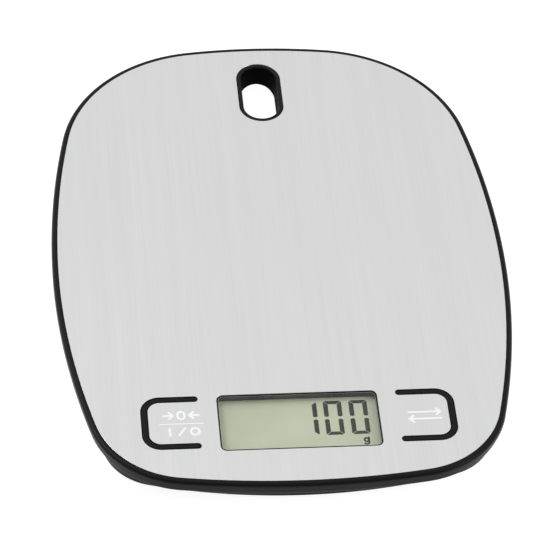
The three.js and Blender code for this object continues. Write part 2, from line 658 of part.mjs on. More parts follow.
addPlate();
addGlueSheet();
addUpperShell();
addKeys();
addDisplay();
addElectronics();
addLowerShell();
addBatteryCover();
addBatteries();
addFeet();
addScrews();
addWires();

export default scale;
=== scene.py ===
"""The look of a slim digital gram scale, built round its CAD frame.

A brushed steel plate lies in a black two-part body. Two keys are tongues cut in the plate, and the
display sits between them behind a clear window. Shapes are worked out in millimetres and turned
into metres when they are placed.
"""

import json
import math

import bmesh
import bpy
from mathutils import Matrix, Vector


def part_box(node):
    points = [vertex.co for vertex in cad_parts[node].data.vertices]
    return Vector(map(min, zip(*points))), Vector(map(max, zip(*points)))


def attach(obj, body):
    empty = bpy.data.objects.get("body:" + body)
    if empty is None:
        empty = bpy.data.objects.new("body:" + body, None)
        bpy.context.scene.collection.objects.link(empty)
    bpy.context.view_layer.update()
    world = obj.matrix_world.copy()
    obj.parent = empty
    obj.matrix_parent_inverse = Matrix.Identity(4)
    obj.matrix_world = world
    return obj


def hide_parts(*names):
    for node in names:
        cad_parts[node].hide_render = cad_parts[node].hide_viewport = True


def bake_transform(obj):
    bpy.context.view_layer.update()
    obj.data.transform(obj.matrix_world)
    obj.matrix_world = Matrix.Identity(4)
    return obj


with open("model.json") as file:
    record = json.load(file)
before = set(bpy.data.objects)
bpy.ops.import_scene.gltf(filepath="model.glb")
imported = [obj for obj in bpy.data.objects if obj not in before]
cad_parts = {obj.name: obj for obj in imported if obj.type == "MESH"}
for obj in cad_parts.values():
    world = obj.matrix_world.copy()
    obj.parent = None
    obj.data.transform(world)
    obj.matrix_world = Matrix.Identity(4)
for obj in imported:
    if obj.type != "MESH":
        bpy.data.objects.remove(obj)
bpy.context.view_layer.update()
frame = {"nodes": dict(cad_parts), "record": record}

MM = 0.001


def levels(node):
    """Lowest and highest z of a CAD node, in millimetres."""
    low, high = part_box(node)
    return low.z / MM, high.z / MM


# ---- Dimensions ---------------------------------------------------------------------------------

WALL = 1.4  # lower shell's floor and front
GLUE = 0.15  # bond line under the plate
PLATE_LOW, PLATE_TOP = levels("steel_plate")
SHELL_TOP = levels("upper_shell")[1]
FLOOR_LOW = levels("lower_shell")[0]
FLOOR_TOP = FLOOR_LOW + WALL
SEAM_LOW = 9.85  # top of the lower shell's edge
ROOF_LOW = 10.05  # bottom of the upper shell's roof and edge
ROOF_TOP = PLATE_LOW - GLUE
LCD_TOP = levels("lcd_front_glass")[1]

# Plate outline: six tangent arcs a side, mirrored about x = 0.
HALF_WIDTH = 74.1
HALF_LENGTH = 99.7
WIDEST_Y = -3
SLOT_END_RADIUS = 201
SLOT_CORNER_RADIUS = 51
SLOT_SIDE_RADIUS = 314
DISPLAY_SIDE_RADIUS = 275
DISPLAY_CORNER_RADIUS = 31
DISPLAY_END_RADIUS = 278
SAGITTA = 0.012  # the furthest a chord may be from its arc

RIM_OUT = 2  # upper shell's edge beyond the plate
LOWER_RIM_OUT = 1.5  # lower shell's edge beyond the plate
LOWER_SIDE = 2.3  # height of the lower shell's upright edge
LOWER_TURN = SEAM_LOW - LOWER_SIDE
BELLY_IN = 12.7  # floor's edge inside the plate's outline

# The full front of the belly: its face and its corners are tangent arcs in plan.
FRONT_RADIUS = 192
FRONT_Y = -98.1
FRONT_CORNER = (43.9, -73.3)
FRONT_CORNER_RADIUS = 19.1
FRONT_BACK = -20

WINDOW = {"x": 0, "y": -75, "width": 51.7, "length": 23.2, "radius": 2}
LIP_IN = 0.1  # upstand of the upper shell round the window
LIP_WALL = 0.3
SLOT = {"x": 0, "y": 77.95, "width": 15.5, "length": 29.4}
COLLAR = {"width": 15.1, "length": 29.0, "wall": 1.35}

KEY = {"root": 33, "end": 49.3, "low": -84.2, "high": -64.65, "radius": 5}
KEY_SLOT = 2.4  # width of the slot round each key
KEY_RIB = 1.9  # plastic rib in that slot
KEY_POCKET = 0.8  # depth of the pocket under each key
KEY_BEND = 5  # length of steel that bends at a key's root
KEY_SLICES = 10  # slices of mesh across the bend
SWITCH = (42, -74.4)

SCREWS = [(-54, -27), (54, -27), (-54, 38), (54, 38), (-22, 80), (22, 80)]
SCREW_SEAT = FLOOR_LOW + 1.6
SCREW_SPLIT = SCREW_SEAT + 1
FEET = {
    "front_left": (-48, -45),
    "front_right": (48, -45),
    "rear_left": (-40, 64),
    "rear_right": (40, 64),
}
FOOT_RADIUS = 8.5
CELL_RADIUS = 11
CELL_Z = FLOOR_TOP + 1.1
BAY = {"x0": 15, "x1": 58.4, "y": -3, "half": 11, "wall": 1.4, "top": 8.4, "roof": 1.2}
COVER_START = BAY["x0"] - 1
COVER_HALF = BAY["half"] + 0.7
COVER_LIP = 1  # rail lip on each side of the cover
COVER_GAP = 0.3
BEYOND_SIDE = HALF_WIDTH + 5

# ---- Camera -------------------------------------------------------------------------------------

CAMERA_AZIMUTH = math.radians(-8.01)
CAMERA_ELEVATION = math.radians(46.41)
CAMERA_ROLL = math.radians(4.11)
CAMERA_DISTANCE = 0.9868
CAMERA_TARGET = Vector((-0.000847, -0.013476, PLATE_TOP * MM))
SENSOR = 36
LENS = 190.84


def make_camera():
    """A long lens above the display end, turned a little to the left and slightly rolled."""
    forward = Vector((
        -math.sin(CAMERA_AZIMUTH) * math.cos(CAMERA_ELEVATION),
        math.cos(CAMERA_AZIMUTH) * math.cos(CAMERA_ELEVATION),
        -math.sin(CAMERA_ELEVATION),
    ))
    level = forward.cross(Vector((0, 0, 1))).normalized()
    upright = level.cross(forward)
    right = level * math.cos(CAMERA_ROLL) + upright * math.sin(CAMERA_ROLL)
    up = upright * math.cos(CAMERA_ROLL) - level * math.sin(CAMERA_ROLL)
    data = bpy.data.cameras.new("camera")
    data.sensor_width = SENSOR
    data.lens = LENS
    data.clip_start = 0.05
    data.clip_end = 50
    camera = bpy.data.objects.new("camera", data)
    bpy.context.scene.collection.objects.link(camera)
    turn = Matrix((right, up, -forward)).transposed().to_4x4()
    camera.matrix_world = Matrix.Translation(CAMERA_TARGET - forward * CAMERA_DISTANCE) @ turn
    bpy.context.scene.camera = camera


# ---- Plan outlines ------------------------------------------------------------------------------


def arc_points(centre, radius, start, end, offset=0):
    """Points along an arc without its last one; their number doesn't depend on the offset."""
    step = 2 * math.acos(1 - SAGITTA / radius)
    count = max(2, math.ceil(abs(end - start) / step))
    angles = [start + (end - start) * i / count for i in range(count)]
    grown = radius + offset
    return [(centre[0] + grown * math.cos(a), centre[1] + grown * math.sin(a)) for a in angles]


def tangent_centre(end_y, end_radius, side_x, side_radius, radius, sign):
    """Centre of the corner arc that touches the end arc and the side arc from inside."""
    between = Vector((side_x, WIDEST_Y - end_y))
    distance = between.length
    from_end = end_radius - radius
    from_side = side_radius - radius
    along = (from_end**2 - from_side**2 + distance**2) / (2 * distance)
    across = math.sqrt(from_end**2 - along**2)
    unit = between / distance
    for side in (1, -1):
        x = unit.x * along - side * unit.y * across
        y = end_y + unit.y * along + side * unit.x * across
        if (y - WIDEST_Y) * sign > 0:
            return (x, y)
    raise ValueError("the outline's arcs do not meet")


def bearing(centre, point):
    return math.atan2(point[1] - centre[1], point[0] - centre[0])


def outline_arcs():
    """The six arcs of the +X half, from the display end round to the slot end."""
    display_end = (0, DISPLAY_END_RADIUS - HALF_LENGTH)
    slot_end = (0, HALF_LENGTH - SLOT_END_RADIUS)
    display_side = (HALF_WIDTH - DISPLAY_SIDE_RADIUS, WIDEST_Y)
    slot_side = (HALF_WIDTH - SLOT_SIDE_RADIUS, WIDEST_Y)
    display_corner = tangent_centre(
        display_end[1], DISPLAY_END_RADIUS, display_side[0], DISPLAY_SIDE_RADIUS,
        DISPLAY_CORNER_RADIUS, -1,
    )
    slot_corner = tangent_centre(
        slot_end[1], SLOT_END_RADIUS, slot_side[0], SLOT_SIDE_RADIUS, SLOT_CORNER_RADIUS, 1,
    )
    a = bearing(display_end, display_corner)
    b = bearing(display_side, display_corner)
    c = bearing(slot_side, slot_corner)
    d = bearing(slot_end, slot_corner)
    return [
        (display_end, DISPLAY_END_RADIUS, -math.pi / 2, a),
        (display_corner, DISPLAY_CORNER_RADIUS, a, b),
        (display_side, DISPLAY_SIDE_RADIUS, b, 0),
        (slot_side, SLOT_SIDE_RADIUS, 0, c),
        (slot_corner, SLOT_CORNER_RADIUS, c, d),
        (slot_end, SLOT_END_RADIUS, d, math.pi / 2),
    ]


ARCS = outline_arcs()


def outline(offset=0):
    """The plate's outline moved outwards by an offset, as an anticlockwise loop."""
    right = []
    for centre, radius, start, end in ARCS:
        right += arc_points(centre, radius, start, end, offset)
    left = [(-x, y) for x, y in reversed(right[1:])]
    return right + [(0, HALF_LENGTH + offset)] + left


def rounded_rect(width, length, radius, x=0, y=0, per_corner=10):
    """A loop function: call it with an offset for the rounded rectangle grown by that much."""

    def loop(offset=0):
        points = []
        grown = radius + offset
        for quarter, (sx, sy) in enumerate([(1, 1), (-1, 1), (-1, -1), (1, -1)]):
            cx = x + sx * (width / 2 - radius)
            cy = y + sy * (length / 2 - radius)
            for i in range(per_corner + 1):
                angle = math.pi / 2 * (quarter + i / per_corner)
                points.append((cx + grown * math.cos(angle), cy + grown * math.sin(angle)))
        return points

    return loop


def pill(width, length, x=0, y=0):
    return rounded_rect(width, length, width / 2 - 0.001, x, y, 20)


def window_outline(inset=0):
    """The display window's outline, drawn in by an inset."""
    return rounded_rect(
        WINDOW["width"] - 2 * inset, WINDOW["length"] - 2 * inset, WINDOW["radius"] - inset,
        WINDOW["x"], WINDOW["y"],
    )


def front_outline(offset=0):
    """The full front of the belly in plan, closed by a straight line across the scale."""
    x, y = FRONT_CORNER
    reach = FRONT_Y + FRONT_RADIUS
    meet = math.atan2(x, reach - y) - math.pi / 2
    right = arc_points((0, reach), FRONT_RADIUS, -math.pi / 2, meet, offset)
    right += arc_points((x, y), FRONT_CORNER_RADIUS, meet, 0, offset)
    side = x + FRONT_CORNER_RADIUS + offset
    right += [(side, y), (side, FRONT_BACK + offset)]
    left = [(-px, py) for px, py in reversed(right[1:])]
    return right + left


def circle(radius, x=0, y=0, segments=48):
    """A loop function for a circle."""

    def loop(offset=0):
        angles = [2 * math.pi * i / segments for i in range(segments)]
        grown = radius + offset
        return [(x + grown * math.cos(a), y + grown * math.sin(a)) for a in angles]

    return loop


def fixed(points):
    """A loop function for points that no offset moves."""
    return lambda offset=0: points


# ---- Solids, in millimetres ---------------------------------------------------------------------


def solid(name, points, faces):
    """A closed mesh object with its normals pointing out."""
    mesh = bpy.data.meshes.new(name)
    mesh.from_pydata(points, [], faces)
    work = bmesh.new()
    work.from_mesh(mesh)
    bmesh.ops.recalc_face_normals(work, faces=work.faces)
    work.to_mesh(mesh)
    work.free()
    obj = bpy.data.objects.new(name, mesh)
    bpy.context.scene.collection.objects.link(obj)
    return obj


def stack(name, loop, profile):
    """A solid through one loop for each (offset, z) of the profile, capped flat at both ends."""
    count = len(loop(0))
    points = [(x, y, z) for offset, z in profile for x, y in loop(offset)]
    faces = [tuple(range(count))]
    for level in range(len(profile) - 1):
        low = level * count
        for i in range(count):
            j = (i + 1) % count
            faces.append((low + i, low + j, low + count + j, low + count + i))
    top = (len(profile) - 1) * count
    faces.append(tuple(range(top, top + count)))
    return solid(name, points, faces)


def prism(name, loop, z0, z1):
    return stack(name, loop, [(0, z0), (0, z1)])


def box(name, x0, x1, y0, y1, z0, z1):
    return prism(name, fixed([(x0, y0), (x1, y0), (x1, y1), (x0, y1)]), z0, z1)


def ring(name, loop, section):
    """A closed ring whose section, a loop of (offset, z), follows a plan loop."""
    count = len(loop(0))
    depth = len(section)
    points = [(x, y, z) for offset, z in section for x, y in loop(offset)]
    faces = []
    for level in range(depth):
        low = level * count
        high = (level + 1) % depth * count
        for i in range(count):
            j = (i + 1) % count
            faces.append((low + i, low + j, high + j, high + i))
    return solid(name, points, faces)


def turned(name, profile, x=0, y=0, segments=64):
    """A turned solid from its [radius, z] profile, bottom of the axis first, top of it last."""
    rim = profile[1:-1]
    points = [(x, y, profile[0][1]), (x, y, profile[-1][1])]
    for radius, z in rim:
        points += [(px, py, z) for px, py in circle(radius, x, y, segments)()]
    faces = []
    last = 2 + (len(rim) - 1) * segments
    for i in range(segments):
        j = (i + 1) % segments
        faces.append((0, 2 + j, 2 + i))
        faces.append((1, last + i, last + j))
        for level in range(len(rim) - 1):
            low = 2 + level * segments
            high = low + segments
            faces.append((low + i, low + j, high + j, high + i))
    return solid(name, points, faces)


def rail(name, path, section, round_end=0):
    """A solid whose section, a loop of (across, z), follows an open path in plan.

    With round_end, both ends run on by that length and narrow to a half circle.
    """
    stations = [(Vector(point), 1) for point in path]
    if round_end:
        start_way = (stations[0][0] - stations[1][0]).normalized()
        end_way = (stations[-1][0] - stations[-2][0]).normalized()
        turns = [math.radians(a) for a in (20, 40, 58, 72, 82, 88)]
        start, end = stations[0][0], stations[-1][0]
        before = [(start + start_way * round_end * math.sin(t), math.cos(t)) for t in turns]
        after = [(end + end_way * round_end * math.sin(t), math.cos(t)) for t in turns]
        stations = before[::-1] + stations + after
    points = []
    for i, (here, scale) in enumerate(stations):
        previous = stations[max(i - 1, 0)][0]
        following = stations[min(i + 1, len(stations) - 1)][0]
        into = (here - previous).normalized() if here != previous else None
        out = (following - here).normalized() if here != following else None
        way = ((into or out) + (out or into)).normalized()
        across = Vector((-way.y, way.x))
        mitre = 1 / max(0.5, across.dot(Vector((-(into or out).y, (into or out).x))))
        for offset, z in section:
            spot = here + across * offset * scale * mitre
            points.append((spot.x, spot.y, z))
    depth = len(section)
    faces = [tuple(range(depth)), tuple(range(len(points) - depth, len(points)))]
    for i in range(len(stations) - 1):
        low = i * depth
        for k in range(depth):
            n = (k + 1) % depth
            faces.append((low + k, low + n, low + depth + n, low + depth + k))
    return solid(name, points, faces)


def flat_section(width, z0, z1):
    half = width / 2
    return [(-half, z0), (half, z0), (half, z1), (-half, z1)]


def keep_modifiers(obj):
    """Turns an object's modifiers into its mesh."""
    graph = bpy.context.evaluated_depsgraph_get()
    mesh = bpy.data.meshes.new_from_object(obj.evaluated_get(graph))
    obj.modifiers.clear()
    obj.data = mesh


def combine(target, tool, operation):
    modifier = target.modifiers.new(operation, "BOOLEAN")
    modifier.operation = operation
    modifier.solver = "MANIFOLD"
    modifier.object = tool
    keep_modifiers(target)
    bpy.data.objects.remove(tool)
    return target


def cut(target, *tools):
    for tool in tools:
        combine(target, tool, "DIFFERENCE")
    return target


def add(target, *tools):
    for tool in tools:
        combine(target, tool, "UNION")
    return target


def gather(name, objects):
    """One object that holds the meshes of several separate ones."""
    work = bmesh.new()
    for obj in objects:
        work.from_mesh(obj.data)
        bpy.data.objects.remove(obj)
    mesh = bpy.data.meshes.new(name)
    work.to_mesh(mesh)
    work.free()
    obj = bpy.data.objects.new(name, mesh)
    bpy.context.scene.collection.objects.link(obj)
    return obj


def shade(obj, sharp_angle=28):
    """Smooth shading that breaks at sharp edges and keeps the large flat faces flat."""
    work = bmesh.new()
    work.from_mesh(obj.data)
    for face in work.faces:
        face.smooth = True
    limit = math.radians(sharp_angle)
    for edge in work.edges:
        edge.smooth = len(edge.link_faces) == 2 and edge.calc_face_angle(0) < limit
    work.to_mesh(obj.data)
    work.free()
    modifier = obj.modifiers.new("normals", "WEIGHTED_NORMAL")
    modifier.mode = "FACE_AREA"
    modifier.keep_sharp = True
    keep_modifiers(obj)


def finish_piece(obj, material):
    """Turns a millimetre mesh into metres, and gives it its shading and material."""
    obj.data.transform(Matrix.Scale(MM, 4))
    shade(obj)
    obj.data.materials.clear()
    obj.data.materials.append(material)


def place(obj, body, material, nodes=()):
    finish_piece(obj, material)
    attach(obj, body)
    if nodes:
        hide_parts(*nodes)
    return obj


# ---- Materials ----------------------------------------------------------------------------------


class Shader:
    """A material with a Principled shader and the few texture nodes that the scale's finishes need."""

    def __init__(self, name):
        self.material = bpy.data.materials.new(name)
        self.material.use_nodes = True
        self.nodes = self.material.node_tree.nodes
        self.links = self.material.node_tree.links
        self.surface = self.nodes["Principled BSDF"]
        self.place = self.nodes.new("ShaderNodeTexCoord").outputs["Object"]

    def set(self, **values):
        for name, value in values.items():
            self.surface.inputs[name.replace("_", " ")].default_value = value

    def noise(self, scale, detail=3, stretch=(1, 1, 1)):
        """Noise over the object, with scale in cells per metre."""
        mapping = self.nodes.new("ShaderNodeMapping")
        mapping.inputs["Scale"].default_value = stretch
        self.links.new(self.place, mapping.inputs["Vector"])
        texture = self.nodes.new("ShaderNodeTexNoise")
        texture.inputs["Scale"].default_value = scale
        texture.inputs["Detail"].default_value = detail
        self.links.new(mapping.outputs["Vector"], texture.inputs["Vector"])
        return texture.outputs["Fac"]

    def sum(self, first, second, share=0.5):
        """A mix of two factors."""
        mix = self.nodes.new("ShaderNodeMix")
        mix.data_type = "FLOAT"
        mix.inputs[0].default_value = share
        self.links.new(first, mix.inputs[2])
        self.links.new(second, mix.inputs[3])
        return mix.outputs[0]

    def tint(self, factor, dark, light, low=0.35, high=0.65):
        """Base colour between two colours by a factor."""
        ramp = self.nodes.new("ShaderNodeValToRGB")
        ramp.color_ramp.elements[0].position = low
        ramp.color_ramp.elements[0].color = (*dark, 1)
        ramp.color_ramp.elements[1].position = high
        ramp.color_ramp.elements[1].color = (*light, 1)
        self.links.new(factor, ramp.inputs["Fac"])
        self.links.new(ramp.outputs["Color"], self.surface.inputs["Base Color"])

    def gloss(self, factor, smooth, rough):
        """Roughness between two values by a factor."""
        spread = self.nodes.new("ShaderNodeMapRange")
        spread.inputs["From Min"].default_value = 0.3
        spread.inputs["From Max"].default_value = 0.7
        spread.inputs["To Min"].default_value = smooth
        spread.inputs["To Max"].default_value = rough
        self.links.new(factor, spread.inputs["Value"])
        self.links.new(spread.outputs["Result"], self.surface.inputs["Roughness"])

    def bump(self, factor, depth, strength=1):
        """Bump of a depth in metres."""
        bump = self.nodes.new("ShaderNodeBump")
        bump.inputs["Strength"].default_value = strength
        bump.inputs["Distance"].default_value = depth
        self.links.new(factor, bump.inputs["Height"])
        self.links.new(bump.outputs["Normal"], self.surface.inputs["Normal"])


def shades(color, spread):
    """A darker and a lighter version of a colour."""
    return tuple(c * (1 - spread) for c in color), tuple(c * (1 + spread) for c in color)


def grained(name, color, roughness, grain=2500, depth=0.00001, spread=0.12, metallic=0, **values):
    """A moulded, rolled or painted finish: fine grain, with slow changes in colour and gloss."""
    shader = Shader(name)
    fine = shader.noise(grain, 2)
    slow = shader.noise(60, 3)
    shader.tint(shader.sum(fine, slow), *shades(color, spread))
    shader.gloss(slow, roughness - 0.05, roughness + 0.05)
    shader.bump(fine, depth)
    shader.set(Metallic=metallic, **values)
    return shader.material


def brushed_steel():
    """Stainless sheet, brushed along the scale's length."""
    shader = Shader("brushed_steel")
    fine = shader.noise(1, 4, (1600, 14, 1600))
    broad = shader.noise(1, 3, (260, 3, 260))
    lines = shader.sum(fine, broad, 0.45)
    shader.tint(lines, (0.735, 0.74, 0.735), (0.79, 0.795, 0.79), 0.3, 0.7)
    shader.gloss(fine, 0.29, 0.36)
    shader.bump(fine, 0.000003, 0.5)
    tangent = shader.nodes.new("ShaderNodeTangent")
    tangent.direction_type = "RADIAL"
    tangent.axis = "X"
    shader.links.new(tangent.outputs["Tangent"], shader.surface.inputs["Tangent"])
    shader.set(Metallic=1, Anisotropic=0.5, Anisotropic_Rotation=0.25)
    return shader.material


def clear_acrylic(name, color, alpha):
    """Clear window plastic; its colour, seen at low alpha, is painted reflection on the pane."""
    shader = Shader(name)
    reflection_noise = shader.noise(150, 2)
    shader.tint(reflection_noise, *shades(color, 0.15))
    shader.gloss(reflection_noise, 0.04, 0.06)
    shader.set(Alpha=alpha, IOR=1.49)
    return shader.material


def lcd_face():
    """The grey-green reflective face of the liquid crystal, with a faint sparkle."""
    shader = Shader("lcd_face")
    sparkle = shader.noise(4000, 1)
    slow = shader.noise(45, 2)
    shader.tint(shader.sum(sparkle, slow, 0.6), (0.57, 0.61, 0.425), (0.67, 0.715, 0.52))
    shader.gloss(slow, 0.30, 0.38)
    return shader.material


def circuit_board():
    """Green solder mask over faint copper tracks."""
    shader = Shader("circuit_board")
    tracks = shader.noise(900, 0, (1, 6, 1))
    shader.tint(tracks, (0.012, 0.085, 0.035), (0.03, 0.17, 0.07), 0.48, 0.52)
    shader.gloss(tracks, 0.35, 0.45)
    shader.bump(tracks, 0.00002)
    return shader.material


STEEL = brushed_steel()
BLACK = grained("black_abs", (0.0028, 0.0030, 0.0030), 0.36, Specular_IOR_Level=0.17)
# Painted shade: a darker, less glossy copy of the black for the hanging slot's walls, standing in for the
# shade inside the slot.
SLOT_SHADE_BLACK = grained("slot_painted_shade_black_abs", (0.0018, 0.0019, 0.0019), 0.75, Specular_IOR_Level=0.03)
# Painted reflection: the pane's grey at low alpha lays a faint light veil over the dark inside of the
# window.
WINDOW_CLEAR = clear_acrylic("window_clear", (0.50, 0.51, 0.51), 0.075)
# Painted highlight: a light, more opaque acrylic for the pane's chamfer, standing in for glints along its
# edge.
WINDOW_EDGE_HIGHLIGHT = clear_acrylic("window_edge_painted_highlight", (0.80, 0.82, 0.81), 0.6)
LCD_GREEN = lcd_face()
SEGMENT = grained(
    "lcd_segment", (0.008, 0.007, 0.002), 0.40, 4000, 0.000001, 0.2, Specular_IOR_Level=0.1,
)
# Painted light: the white print gives off a little light of its own, so it shows brighter than the lamps
# make it.
GLOWING_PRINT = grained(
    "white_print_painted_glow", (0.90, 0.91, 0.90), 0.45, 3000, 0.000002, 0.04,
    Emission_Color=(1, 1, 1, 1), Emission_Strength=0.1,
)

FINISHES = {
    "brushed_steel_plate": STEEL,
    "black_abs": BLACK,
    "adhesive_tape": grained("adhesive_tape", (0.80, 0.80, 0.76), 0.8, 800),
    "clear_acrylic": WINDOW_CLEAR,
    "white_abs": grained("white_abs", (0.74, 0.74, 0.71), 0.55),
    "lcd_glass": LCD_GREEN,
    "black_silicone": grained("black_silicone", (0.02, 0.02, 0.021), 0.75, 1200),
    "circuit_board": circuit_board(),
    "black_epoxy": grained("black_epoxy", (0.012, 0.012, 0.012), 0.35, 500, 0.00003),
    "nickel_plate": grained("nickel_plate", (0.62, 0.60, 0.56), 0.25, 1800, metallic=1),
    "spring_steel": grained("spring_steel", (0.50, 0.51, 0.52), 0.35, 1800, metallic=1),
    "foot_rubber": grained("foot_rubber", (0.022, 0.022, 0.023), 0.85, 1500, 0.00003),
    "zinc_screw": grained("zinc_screw", (0.56, 0.57, 0.58), 0.32, 1500, metallic=1),
    "grey_wire": grained("grey_wire", (0.25, 0.26, 0.265), 0.5, 900),
    "red_wire": grained("red_wire", (0.42, 0.03, 0.025), 0.45, 900),
    "black_wire": grained("black_wire", (0.014, 0.014, 0.014), 0.45, 900),
}


def finish_cad_nodes():
    """Gives every CAD node the procedural finish of its slot in the record."""
    for part in frame["record"]["subparts"]:
        node = frame["nodes"][part["node"]]
        for held in node.material_slots:
            held.material = FINISHES[part["material_slot"]]


# ---- Steel plate and keys -----------------------------------------------------------------------


def sided(points, side):
    """Points for the +X side, mirrored to the side asked for and kept anticlockwise."""
    return points if side > 0 else [(-x, y) for x, y in reversed(points)]


def key_field(side, grow):
    """A key's field from its root to its free end, its other three sides grown by an amount."""
    radius = KEY["radius"] + grow
    end = KEY["end"] + grow
    low = KEY["low"] - grow
    high = KEY["high"] + grow
    points = [(KEY["root"], high), (KEY["root"], low)]
    points += arc_points((end - radius, low + radius), radius, -math.pi / 2, 0)
    points += arc_points((end - radius, high - radius), radius, 0, math.pi / 2)
    points.append((end - radius, high))
    return sided(points, side)


def key_path(side):
    """The middle line of the C-shaped slot round a key."""
    radius = KEY["radius"]
    end, low, high = KEY["end"], KEY["low"], KEY["high"]
    path = [(KEY["root"], low), ((KEY["root"] + end - radius) / 2, low)]
    path += arc_points((end - radius, low + radius), radius, -math.pi / 2, 0)
    path += arc_points((end - radius, high - radius), radius, 0, math.pi / 2)
    path += [(end - radius, high), ((KEY["root"] + end - radius) / 2, high), (KEY["root"], high)]
    return [(side * x, y) for x, y in path]


def make_plate():
    """The weighing plate, with its slot, its window and the fields that hold the keys."""
    edge = 0.08
    plate = stack("plate", outline, [
        (0, PLATE_LOW), (0, PLATE_TOP - edge), (-edge * 0.3, PLATE_TOP - edge * 0.3),
        (-edge, PLATE_TOP),
    ])
    low, high = PLATE_LOW - 1, PLATE_TOP + 1
    flare = [(0, low), (0, PLATE_TOP - edge), (edge, PLATE_TOP), (edge, high)]
    slot = pill(SLOT["width"], SLOT["length"], SLOT["x"], SLOT["y"])
    cut(plate, stack("window", window_outline(), flare), stack("slot", slot, flare))
    for side in (-1, 1):
        cut(plate, prism("field", fixed(key_field(side, KEY_SLOT / 2)), low, high))
        for y in (KEY["low"], KEY["high"]):
            cut(plate, prism("end", circle(KEY_SLOT / 2, side * KEY["root"], y), low, high))
    place(plate, "scale_body", STEEL, ["steel_plate"])


def slice_bend(obj, side):
    """Slices an object across a key's bend, so that its mesh can follow the bend."""
    work = bmesh.new()
    work.from_mesh(obj.data)
    for i in range(KEY_SLICES + 1):
        x = side * (KEY["root"] + KEY_BEND * i / KEY_SLICES)
        bmesh.ops.bisect_plane(
            work, geom=work.verts[:] + work.edges[:] + work.faces[:],
            plane_co=(x, 0, 0), plane_no=(1, 0, 0),
        )
    work.to_mesh(obj.data)
    work.free()


def bend_with_key(obj, material, side):
    """A steel tongue, or print on it, sliced across the bend, finished, and baked where it stands."""
    slice_bend(obj, side)
    finish_piece(obj, material)
    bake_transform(obj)


def make_key(side, body):
    """The tongue of steel inside a key's slot."""
    tongue = prism(f"{body}_tongue", fixed(key_field(side, -KEY_SLOT / 2)), PLATE_LOW, PLATE_TOP)
    bend_with_key(tongue, STEEL, side)
    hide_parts(body)


# ---- Key symbols --------------------------------------------------------------------------------

PRINT_LOW = PLATE_TOP - 0.01
PRINT_HIGH = PLATE_TOP + 0.03
PRINT_LINE = 0.75


def stroke(points, width=PRINT_LINE, z0=PRINT_LOW, z1=PRINT_HIGH):
    return rail("stroke", points, flat_section(width, z0, z1), width / 2)


def arc_path(x, y, rx, ry, start, end, count=24):
    """An arc of an ellipse, with angles in degrees."""
    turns = [math.radians(start + (end - start) * i / count) for i in range(count + 1)]
    return [(x + rx * math.cos(t), y + ry * math.sin(t)) for t in turns]


def ring_stroke(x, y, rx, ry, width=PRINT_LINE, z0=PRINT_LOW, z1=PRINT_HIGH):
    """A closed oval line."""

    def loop(offset=0):
        turns = [2 * math.pi * i / 32 for i in range(32)]
        return [(x + (rx + offset) * math.cos(t), y + (ry + offset) * math.sin(t)) for t in turns]

    return ring("ring", loop, flat_section(width, z0, z1))


def arrow(x0, x1, y, head=1.3):
    """A line from x0 to x1 with a head at x1."""
    back = x1 + math.copysign(head, x0 - x1)
    shaft = stroke([(x0, y), (x1, y)])
    return add(shaft, stroke([(back, y + head), (x1, y)]), stroke([(back, y - head), (x1, y)]))


def make_symbols():
    """Tare and power symbols on the left key, and a swap symbol for the unit on the right one."""
    upper, rule, lower = -71.4, -74.9, -78.2
    middle = -37.6
    zero = ring_stroke(middle, upper, 1.15, 1.6)
    tare = [arrow(middle - 5.6, middle - 2.6, upper), zero, arrow(middle + 5.6, middle + 2.6, upper)]
    line = stroke([(middle - 6.9, rule), (middle + 6.9, rule)], 0.4)
    power = [
        stroke([(middle - 3.9, lower - 1.4), (middle - 3.9, lower + 1.4)]),
        stroke([(middle - 1, lower - 1.4), (middle + 1, lower + 1.4)]),
        ring_stroke(middle + 4.1, lower, 1.35, 1.4),
    ]
    left = gather("tare_power_symbols", tare + [line] + power)
    bend_with_key(left, GLOWING_PRINT, -1)
    swap = [arrow(35.2, 45.4, -73.3), arrow(45.4, 35.2, -76.1)]
    bend_with_key(gather("unit_symbol", swap), GLOWING_PRINT, 1)


# ---- Upper shell --------------------------------------------------------------------------------


def quarter_round(offset, z, radius, start, end, count=8):
    """Points of an arc in a section, as (offset, z), with angles in degrees."""
    turns = [math.radians(start + (end - start) * i / count) for i in range(count + 1)]
    return [(offset + radius * math.cos(t), z + radius * math.sin(t)) for t in turns]


def belly_inside(clearance=0):
    """The room inside the lower shell, shrunk by a clearance."""
    profile = [
        (-BELLY_IN - 0.4, FLOOR_TOP + clearance), (-BELLY_IN + 0.8, FLOOR_TOP + 0.2 + clearance),
        (-1.6, LOWER_TURN + 1 + clearance), (-1, LOWER_TURN + 1.4), (-1, PLATE_TOP),
    ]
    room = stack("room", outline, [(offset - clearance, z) for offset, z in profile])
    inset = WALL + clearance
    front = stack("front_room", front_outline, [
        (-inset - 0.6, FLOOR_TOP + clearance), (-inset, FLOOR_TOP + 0.6 + clearance), (-inset, SEAM_LOW),
    ])
    return add(room, front)


def hanging_hole():
    """The cutter for the hole through both shells, opened out at the top edge."""
    width = COLLAR["width"] - 2 * COLLAR["wall"]
    length = COLLAR["length"] - 2 * COLLAR["wall"]
    edge = 0.45
    profile = [(0, -1), (0, 6)]
    profile += [
        (edge - offset, z) for offset, z in quarter_round(0, SHELL_TOP - edge, edge, 0, 90, 6)
    ]
    profile.append((edge, PLATE_TOP + 1))
    return stack("hole", pill(width, length, SLOT["x"], SLOT["y"]), profile)


